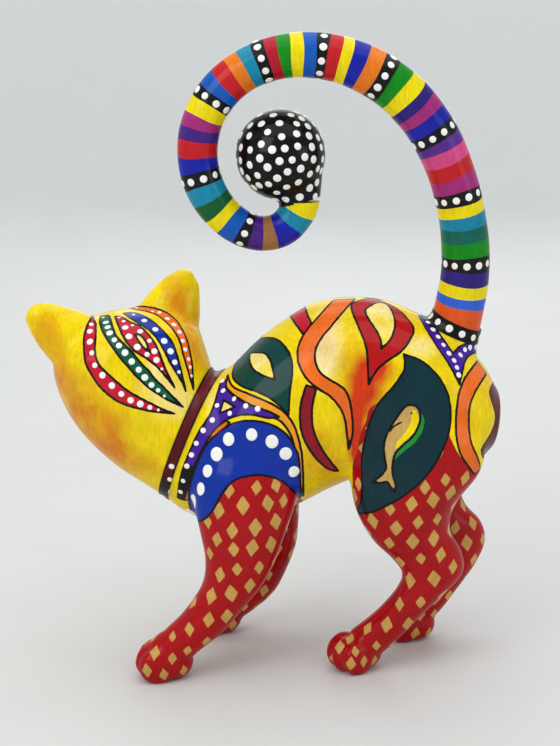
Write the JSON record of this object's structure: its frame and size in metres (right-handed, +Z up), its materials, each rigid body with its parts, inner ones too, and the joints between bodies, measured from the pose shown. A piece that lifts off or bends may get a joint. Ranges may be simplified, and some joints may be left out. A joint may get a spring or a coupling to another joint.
{
  "type": "papier-mache cat figure",
  "caption": "Standing papier-mache cat with an arched back, a turned head and a long tail curled round to a ball, painted all over.",
  "frame": {"origin": "on the ground, under the middle of the bounding box", "axes": "+Z up, the cat walks towards -X, its left side towards -Y"},
  "size_m": [0.282, 0.1126, 0.3796],
  "materials": {
    "body_paint": "varnished acrylic paint on papier-mache",
    "leg_paint": "varnished red acrylic paint on papier-mache",
    "tail_paint": "varnished acrylic paint in bands on papier-mache",
    "ball_paint": "varnished black acrylic paint with raised white dots on papier-mache",
    "band_paint": "varnished acrylic paint on a pasted paper strip",
    "galvanised_wire": "galvanised",
    "hemp_twine": "twisted natural fibre"
  },
  "bodies": {
    "root": {"torso_shell": "body_paint", "head_shell": "body_paint", "ear_left": "body_paint", "ear_right": "body_paint", "neck_band": "band_paint", "tail_band": "band_paint", "tail": "tail_paint", "tail_ball": "ball_paint", "front_left_leg": "leg_paint", "front_left_paw": "leg_paint", "front_right_leg": "leg_paint", "front_right_paw": "leg_paint", "hind_left_leg": "leg_paint", "hind_left_paw": "leg_paint", "hind_right_leg": "leg_paint", "hind_right_paw": "leg_paint", "spine_wire": "galvanised_wire", "front_leg_wire": "galvanised_wire", "hind_leg_wire": "galvanised_wire", "tail_wire": "galvanised_wire", "shoulder_lashing": "hemp_twine", "hip_lashing": "hemp_twine", "tail_lashing": "hemp_twine"}
  },
  "joints": []
}
